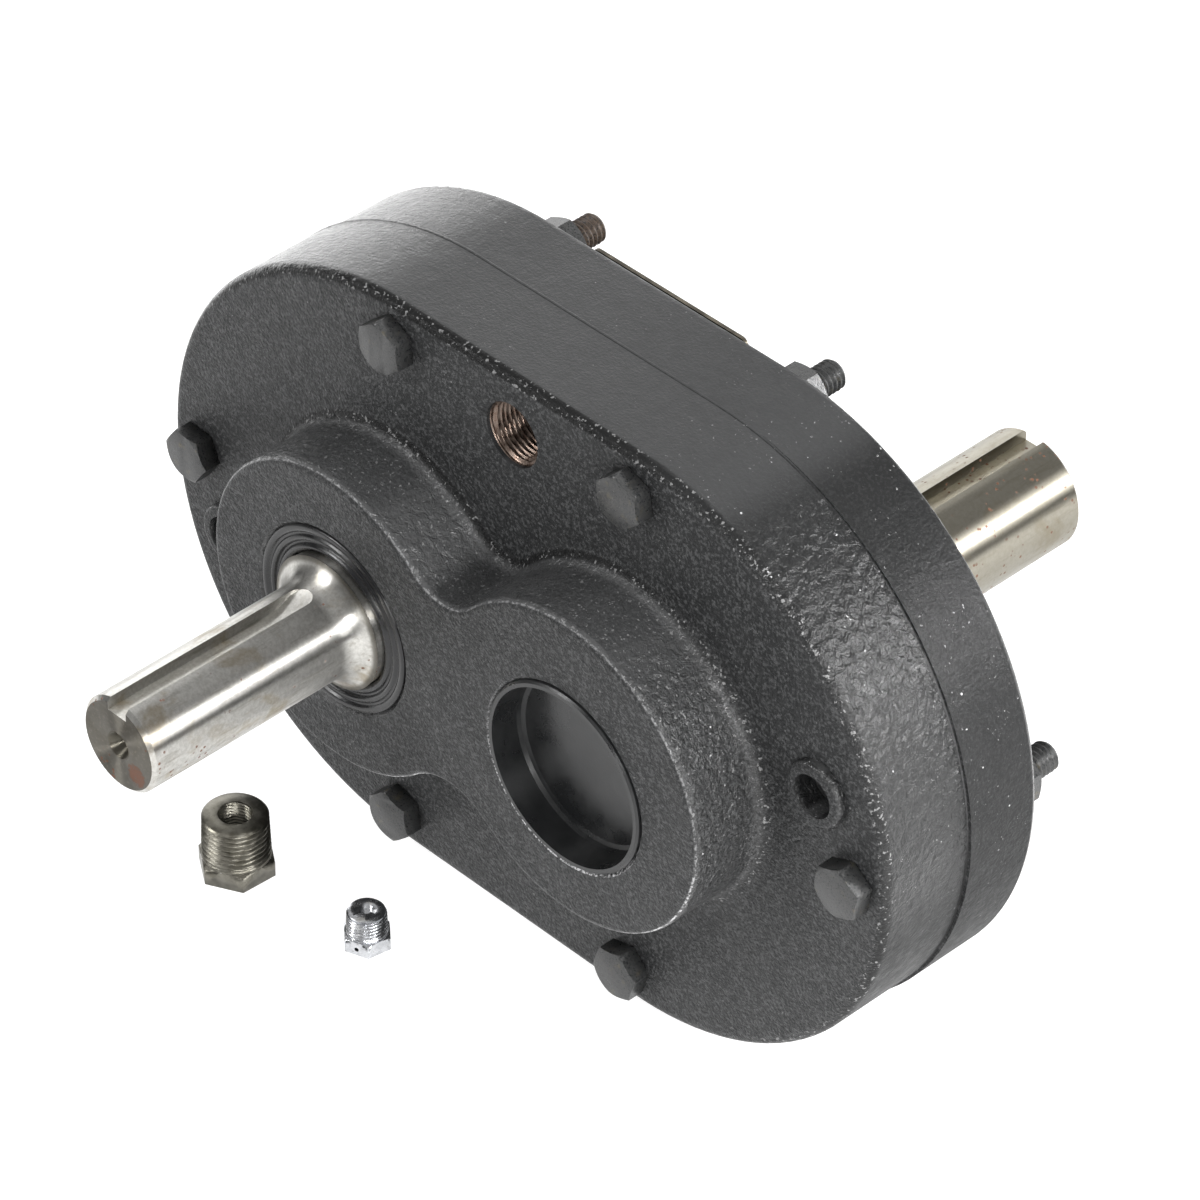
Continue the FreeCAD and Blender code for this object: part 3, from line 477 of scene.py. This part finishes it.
def fitting_steel():
    """Machined dark steel with an oily olive cast."""
    s = Shader("fitting_steel")
    cut = s.noise(0.3 * MM, 3.0, 0.6, s.stretched((0.15, 0.15, 1.0)))
    film = s.noise(2.5 * MM, 5.0, 0.65)
    grime = s.span(s.noise(0.8 * MM, 3.0, 0.6), 0.62, 0.72, 0.0, 0.4)
    color = s.blend(s.span(film, 0.35, 0.68), (0.135, 0.128, 0.105), (0.22, 0.21, 0.18))
    color = s.blend(grime, color, (0.07, 0.06, 0.045))
    normal = s.bump(film, 0.06 * MM, 0.4)
    normal = s.bump(cut, 0.03 * MM, 0.6, normal)
    return s.finish(color, s.span(film, 0.3, 0.7, 0.28, 0.42), 1.0, normal)


def zinc_steel():
    """Bright zinc plating with dark grime."""
    s = Shader("zinc_steel")
    film = s.noise(1.8 * MM, 5.0, 0.6)
    fine = s.noise(0.25 * MM, 3.0, 0.6)
    grime = s.span(s.noise(1.1 * MM, 4.0, 0.6), 0.60, 0.72, 0.0, 0.55)
    color = s.blend(s.span(film, 0.35, 0.68), (0.50, 0.51, 0.53), (0.66, 0.67, 0.69))
    color = s.blend(grime, color, (0.16, 0.15, 0.14))
    normal = s.bump(film, 0.05 * MM, 0.4)
    normal = s.bump(fine, 0.015 * MM, 0.5, normal)
    return s.finish(color, s.span(film, 0.3, 0.7, 0.16, 0.30), 1.0, normal)


def bare_thread():
    """Bare brown cast iron where the fill hole's thread is cut."""
    s = Shader("bare_thread")
    film = s.noise(1.5 * MM, 4.0, 0.6)
    color = s.blend(s.span(film, 0.3, 0.7), (0.13, 0.085, 0.065), (0.24, 0.19, 0.16))
    return s.finish(color, s.span(film, 0.3, 0.7, 0.24, 0.40), 0.9, s.bump(film, 0.05 * MM, 0.5))


MAKERS = (
    case_paint, gasket, bolt_paint, cup_paint, shaft_steel, gear_steel, bearing_steel,
    cage_steel, seal_rubber, plate_metal, fitting_steel, zinc_steel,
)
MATERIALS = {maker.__name__: maker() for maker in MAKERS}
THREAD_METAL = bare_thread()


# ------------------------------------------------------------------ shape helpers
def paint(obj, material):
    obj.data.materials.clear()
    obj.data.materials.append(material)


def soften(obj, angle=32):
    """Smooth shading that keeps edges sharper than angle degrees."""
    obj.data.shade_smooth()
    obj.data.set_sharp_from_angle(angle=math.radians(angle))


def new_object(name, bm, material):
    """Turns a bmesh into an object of the scene."""
    mesh = bpy.data.meshes.new(name)
    bm.to_mesh(mesh)
    bm.free()
    obj = bpy.data.objects.new(name, mesh)
    bpy.context.scene.collection.objects.link(obj)
    paint(obj, material)
    return obj


def piece(name, bm, body, slot, material=None):
    """New object from a bmesh, riding on a body and dressed from a slot."""
    bmesh.ops.recalc_face_normals(bm, faces=bm.faces)
    obj = new_object(name, bm, material or MATERIALS[slot])
    soften(obj)
    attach(obj, body)
    return obj


def copy_of(node):
    bm = bmesh.new()
    bm.from_mesh(frame["nodes"][node].data)
    bmesh.ops.remove_doubles(bm, verts=bm.verts, dist=0.002 * MM)
    return bm


def drop_faces(bm, test):
    """Deletes the faces whose corners all pass a test."""
    doomed = [face for face in bm.faces if all(test(vert.co) for vert in face.verts)]
    bmesh.ops.delete(bm, geom=doomed, context="FACES")


def skin(bm, rings):
    """Joins each ring of vertices to the next one with a band of faces."""
    for one, two in zip(rings, rings[1:]):
        for i in range(len(one)):
            k = (i + 1) % len(one)
            bm.faces.new((one[i], one[k], two[k], two[i]))


def revolved(bm, outline, axis, segments=144):
    """Adds a closed ring turned about an axis along Y, from (y, radius) points in metres."""
    turns = [2 * math.pi * i / segments for i in range(segments)]
    rings = []
    for y, r in outline:
        rings.append([bm.verts.new((axis.x + r * math.cos(a), y, axis.z + r * math.sin(a))) for a in turns])
    skin(bm, rings + rings[:1])


def thread_wave(turns):
    """0 on the crest and 1 in the root of a thread, after that many turns along it."""
    part = abs(2 * (turns - math.floor(turns)) - 1)
    return min(1.0, max(0.0, (part - 0.10) / 0.80))


def add_thread(bm, foot, way, length, radius, depth, pitch, inward=False, segments=72,
               tip_chamfer=0.0, run_in=0.0, per_turn=8):
    """Adds a helical thread round an axis that starts at foot and runs along way.

    radius(t) is the plain radius at t metres from the foot. An outer thread is cut into it and
    an inner thread stands in from it. tip_chamfer takes the end down at 45 degrees, and run_in
    is the length over which the thread grows to its full depth. Returns the last ring.
    """
    side = way.orthogonal().normalized()
    other = way.cross(side)
    rows = max(2, int(length / pitch * per_turn))
    rings = []
    for j in range(rows + 1):
        t = length * j / rows
        grown = min(1.0, t / run_in) if run_in > 0 else 1.0
        ring = []
        for i in range(segments):
            a = 2 * math.pi * i / segments
            wave = thread_wave(t / pitch - i / segments)
            if inward:
                wave = 1 - wave
            r = radius(t) - depth * wave * grown
            if tip_chamfer > 0 and length - t < tip_chamfer:
                r = min(r, radius(t) - (tip_chamfer - (length - t)))
            ring.append(bm.verts.new(foot + way * t + (side * math.cos(a) + other * math.sin(a)) * r))
        rings.append(ring)
    skin(bm, rings)
    return rings[-1]


# ------------------------------------------------------------------ bolts
BOLT_PITCH = INCH / 18
BOLT_R = 3.97 * MM
BOLT_THREAD_DEPTH = 0.56 * MM
BOLT_TIP_CHAMFER = 0.75 * MM
BOLT_CIRCLE_R = 71.4375 * MM


def bolt_places():
    """(x, z) of the six bolts: above, below and outboard of each shaft."""
    places = []
    for axis, out in ((INPUT_AXIS, -1), (OUTPUT_AXIS, 1)):
        places.append((axis.x, axis.z + BOLT_CIRCLE_R))
        places.append((axis.x, axis.z - BOLT_CIRCLE_R))
        places.append((axis.x + out * BOLT_CIRCLE_R, axis.z))
    return places


def threaded_bolts():
    """The CAD bolts, cut off just inside their nuts and carried on with real threads."""
    tip_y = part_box("case_bolts")[1].y
    foot_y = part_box("case_nuts")[1].y - 1.0 * MM
    bm = copy_of("case_bolts")
    geom = bm.verts[:] + bm.edges[:] + bm.faces[:]
    bmesh.ops.bisect_plane(bm, geom=geom, plane_co=(0, foot_y, 0), plane_no=(0, 1, 0), clear_outer=True)
    for x, z in bolt_places():
        tip = add_thread(
            bm, Vector((x, foot_y, z)), Vector((0, 1, 0)), tip_y - foot_y, lambda t: BOLT_R,
            BOLT_THREAD_DEPTH, BOLT_PITCH, segments=56, tip_chamfer=BOLT_TIP_CHAMFER, per_turn=10,
        )
        bm.faces.new(tip)
    obj = piece("case_bolts_threaded", bm, "housing", "bolt_paint")
    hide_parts("case_bolts")


# ------------------------------------------------------------------ pipe threads
PIPE_PITCH_18 = INCH / 18
PIPE_PITCH_27 = INCH / 27
PIPE_SLOPE = 1.0 / 32
FILL_PORT = next(mount for mount in frame["record"]["mounts"] if mount["name"] == "fill_port")
FILL_R = FILL_PORT["dims"]["r_mm"] * MM
FILL_THREAD_DEPTH = 0.85 * MM
FILL_THREAD_LENGTH = 11.5 * MM


def fill_thread():
    """The thread inside the fill hole, just clear of the plain CAD bore."""
    bm = bmesh.new()
    foot = Vector((FILL_PORT["pos_m"][0], FRONT_FACE_Y + 1.0 * MM, FILL_PORT["pos_m"][2]))
    add_thread(
        bm, foot, Vector((0, 1, 0)), FILL_THREAD_LENGTH, lambda t: FILL_R - 0.03 * MM,
        FILL_THREAD_DEPTH, PIPE_PITCH_18, inward=True, segments=96, run_in=0.8 * MM, per_turn=10,
    )
    piece("fill_port_thread", bm, "housing", "case_paint", THREAD_METAL)


def fitting(node, body, slot, hex_height, radius, depth, pitch, bore=None):
    """The CAD fitting with its plain shank cut with a taper thread, and its bore too if given.

    radius is the shank's at the hexagon, and bore has the radius, depth and pitch of its thread.
    """
    low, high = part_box(node)
    centre = (low + high) / 2
    top = high.z

    def off_axis(point):
        return math.hypot(point.x - centre.x, point.y - centre.y)

    def on_shank(point):
        return point.z > hex_height - 0.1 * MM and radius - 0.62 * MM < off_axis(point) < radius + 0.1 * MM

    bm = copy_of(node)
    drop_faces(bm, on_shank)
    if bore:
        drop_faces(bm, lambda point: off_axis(point) < bore["radius"] + 0.1 * MM)
    add_thread(
        bm, Vector((centre.x, centre.y, hex_height - 0.05 * MM)), Vector((0, 0, 1)),
        top - hex_height - 0.55 * MM, lambda t: radius - t * PIPE_SLOPE, depth, pitch,
        run_in=1.2 * pitch, per_turn=10, segments=80,
    )
    if bore:
        add_thread(
            bm, Vector((centre.x, centre.y, top)), Vector((0, 0, -1)), top - low.z,
            lambda t: bore["radius"], bore["depth"], bore["pitch"],
            inward=True, segments=64, run_in=0.6 * MM, per_turn=8,
        )
    obj = piece(node + "_threaded", bm, body, slot)
    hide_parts(node)


# ------------------------------------------------------------------ seam and seals
def seam_paint(radius=0.85 * MM, proud=0.16 * MM, ring=10):
    """Bead of paint that fills the joint line over the top, from one end of the case to the other."""
    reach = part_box("front_housing")[1].z - INPUT_AXIS.z - radius + proud
    steps = 60
    path = []
    for i in range(steps + 1):
        path.append((INPUT_AXIS, math.radians(205 - 115 * i / steps)))
    for i in range(steps + 1):
        path.append((OUTPUT_AXIS, math.radians(90 - 62 * i / steps)))
    bm = bmesh.new()
    loops = []
    for k, (axis, a) in enumerate(path):
        size = radius * min(1.0, 0.15 + k / 12, 0.15 + (len(path) - 1 - k) / 12)
        loop = []
        for i in range(ring):
            b = 2 * math.pi * i / ring
            out = reach + size * math.cos(b)
            place = (axis.x + out * math.cos(a), size * math.sin(b), axis.z + out * math.sin(a))
            loop.append(bm.verts.new(place))
        loops.append(loop)
    skin(bm, loops)
    bm.faces.new(loops[0][::-1])
    bm.faces.new(loops[-1])
    soften(piece("seam_paint", bm, "housing", "case_paint"), 75)


# Section of a lip seal: (depth into the case, radius) in millimetres, with its ribs and lip.
SEAL_OUTLINE = [
    (6.0, 25.0), (0.55, 25.0), (0.15, 24.78), (0.0, 24.45), (-0.04, 24.0), (0.02, 23.55), (0.24, 23.2),
    (0.62, 23.0), (0.80, 22.7), (0.78, 22.4), (0.52, 22.15), (0.22, 21.9), (0.10, 21.5), (0.16, 21.1),
    (0.46, 20.8), (0.92, 20.6), (1.15, 20.3), (1.10, 20.0), (0.84, 19.75), (0.30, 19.4), (0.12, 19.0),
    (0.18, 18.6), (0.50, 18.15), (1.10, 17.66), (3.10, 17.60), (4.0, 18.8), (7.4, 19.4), (7.6, 23.2),
    (8.0, 24.8),
]


def ribbed_seal(node, axis, into):
    """Lip seal with moulded ribs; into is the way from its face into the case."""
    low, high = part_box(node)
    face = low.y if into > 0 else high.y
    bm = bmesh.new()
    revolved(bm, [(face + into * depth * MM, r * MM) for depth, r in SEAL_OUTLINE], axis)
    obj = piece(node + "_ribbed", bm, "housing", "seal_rubber")
    soften(obj, 75)
    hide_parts(node)


# ------------------------------------------------------------------ pieces
for node, obj in frame["nodes"].items():
    paint(obj, MATERIALS[NODE_SLOT[node]])
    soften(obj)

threaded_bolts()
fill_thread()
fitting(
    "vent_bushing", "bushing", "fitting_steel", hex_height=4.8 * MM, radius=8.7 * MM, depth=0.75 * MM,
    pitch=PIPE_PITCH_18, bore={"radius": 4.3 * MM, "depth": 0.35 * MM, "pitch": PIPE_PITCH_27},
)
fitting(
    "vent_plug", "vent", "zinc_steel", hex_height=3.9 * MM, radius=5.15 * MM, depth=0.5 * MM,
    pitch=PIPE_PITCH_27,
)
seam_paint()
ribbed_seal("input_seal", INPUT_AXIS, 1)
ribbed_seal("output_seal", OUTPUT_AXIS, -1)


# ------------------------------------------------------------------ set
WHITE = (1.0, 1.0, 1.0, 1.0)
FLOOR_HALF = 4.0
POOL_R = 0.50
POOL_FADE = 0.45
COVE_INNER = 0.52
COVE_OUTER = 3.4
COVE_BEND = 0.8
COVE_HEIGHT = 3.2
COVE_LIFT = 0.4 * MM
CENTRE = Vector((0, 0, 0.08))


def floor():
    """Pale floor that glows, brighter in a painted pool of light round the object."""
    s = Shader("floor")
    speck = s.noise(9 * MM, 4.0, 0.6)
    color = s.blend(s.span(speck, 0.3, 0.7), (0.36, 0.36, 0.36), (0.38, 0.38, 0.38))
    # Painted light: the floor glows brighter in a pool round the object.
    pool = s.near((0.0, 0.0, 0.0), POOL_R, POOL_FADE)
    material = s.finish(
        color, s.span(speck, 0.3, 0.7, 0.55, 0.65),
        Emission_Color=WHITE, Emission_Strength=s.span(pool, 0.0, 1.0, 0.18, 0.86),
    )
    bm = bmesh.new()
    bmesh.ops.create_grid(bm, x_segments=2, y_segments=2, size=FLOOR_HALF)
    new_object("floor", bm, material)


def backdrop(segments=96, steps=12):
    """White cove round the floor's painted pool of light; only the camera sees it, so it lights nothing."""
    s = Shader("backdrop")
    color = s.blend(s.noise(0.5, 2.0, 0.5), (0.80, 0.80, 0.80), (0.84, 0.84, 0.84))
    material = s.finish(color, 0.9, Emission_Color=WHITE, Emission_Strength=1.0)
    outline = [(COVE_INNER, COVE_LIFT)]
    for i in range(steps + 1):
        a = math.pi / 2 * i / steps
        r = COVE_OUTER - COVE_BEND * (1 - math.sin(a))
        z = COVE_LIFT + COVE_BEND * (1 - math.cos(a))
        outline.append((r, z))
    outline.append((COVE_OUTER, COVE_HEIGHT))
    turns = [2 * math.pi * i / segments for i in range(segments)]
    bm = bmesh.new()
    skin(bm, [[bm.verts.new((r * math.cos(a), r * math.sin(a), z)) for a in turns] for r, z in outline])
    obj = new_object("backdrop", bm, material)
    obj.visible_diffuse = False
    obj.visible_glossy = False
    obj.visible_transmission = False
    obj.visible_shadow = False


def softbox(name, direction, distance, width, height, power):
    """Area light that looks at the object from a direction of the row frame."""
    light = bpy.data.lights.new(name, "AREA")
    light.shape = "RECTANGLE"
    light.size = width
    light.size_y = height
    light.energy = power
    obj = bpy.data.objects.new(name, light)
    way = Vector(direction).normalized()
    obj.location = CENTRE + way * distance
    obj.rotation_euler = way.to_track_quat("Z", "Y").to_euler()
    bpy.context.scene.collection.objects.link(obj)


def lights():
    softbox("strip_right_back", (0.88, 0.32, 0.37), 1.2, 2.0, 0.50, 10.5)
    softbox("key_right_back", (0.78, 0.50, 0.36), 1.1, 0.30, 0.12, 8.5)
    softbox("key_right", (0.90, -0.05, 0.43), 1.3, 0.34, 0.16, 6.5)
    softbox("panel_left_back", (-0.56, 0.54, 0.63), 1.3, 1.3, 1.0, 5.0)
    softbox("low_left_back", (-0.82, 0.52, 0.15), 0.9, 1.0, 0.36, 2.8)
    softbox("key_front", (-0.50, -0.70, 0.45), 1.3, 0.40, 0.25, 6.0)
    softbox("key_front_right", (0.72, -0.59, 0.37), 1.3, 0.75, 0.12, 9.0)


def studio_world():
    """White surroundings, dim near the horizon and brighter overhead."""
    world = bpy.data.worlds.new("studio")
    bpy.context.scene.world = world
    world.use_nodes = True
    tree = world.node_tree
    background = tree.nodes["Background"]
    background.inputs["Color"].default_value = WHITE
    sky = tree.nodes.new("ShaderNodeTexCoord")
    split = tree.nodes.new("ShaderNodeSeparateXYZ")
    glow = tree.nodes.new("ShaderNodeMapRange")
    glow.inputs["From Min"].default_value = 0.10
    glow.inputs["From Max"].default_value = 0.80
    glow.inputs["To Min"].default_value = 0.04
    glow.inputs["To Max"].default_value = 0.55
    tree.links.new(sky.outputs["Generated"], split.inputs["Vector"])
    tree.links.new(split.outputs["Z"], glow.inputs["Value"])
    tree.links.new(glow.outputs["Result"], background.inputs["Strength"])


CAMERA_PLACE = Vector((893.78, -865.42, 1093.68)) * MM
CAMERA_AZIMUTH = math.radians(45.881)
CAMERA_RISE = math.radians(39.06)
CAMERA_ROLL = math.radians(0.252)
CAMERA_LENS = 202.7


def camera():
    """Camera right of the front, looking down at the object."""
    data = bpy.data.cameras.new("camera")
    data.sensor_width = 36.0
    data.lens = CAMERA_LENS
    data.clip_end = 20.0
    level = Vector((math.sin(CAMERA_AZIMUTH), -math.cos(CAMERA_AZIMUTH), 0)) * math.cos(CAMERA_RISE)
    back = level + Vector((0, 0, math.sin(CAMERA_RISE)))
    right = Vector((math.cos(CAMERA_AZIMUTH), math.sin(CAMERA_AZIMUTH), 0))
    up = back.cross(right)
    rolled_right = right * math.cos(CAMERA_ROLL) + up * math.sin(CAMERA_ROLL)
    rolled_up = up * math.cos(CAMERA_ROLL) - right * math.sin(CAMERA_ROLL)
    obj = bpy.data.objects.new("camera", data)
    matrix = obj.matrix_world.copy()
    for row in range(3):
        matrix[row][0] = rolled_right[row]
        matrix[row][1] = rolled_up[row]
        matrix[row][2] = back[row]
    matrix.translation = CAMERA_PLACE
    obj.matrix_world = matrix
    bpy.context.scene.collection.objects.link(obj)
    bpy.context.scene.camera = obj


floor()
backdrop()
lights()
studio_world()
camera()
bpy.context.scene.view_settings.view_transform = "Standard"
bpy.context.scene.view_settings.look = "None"
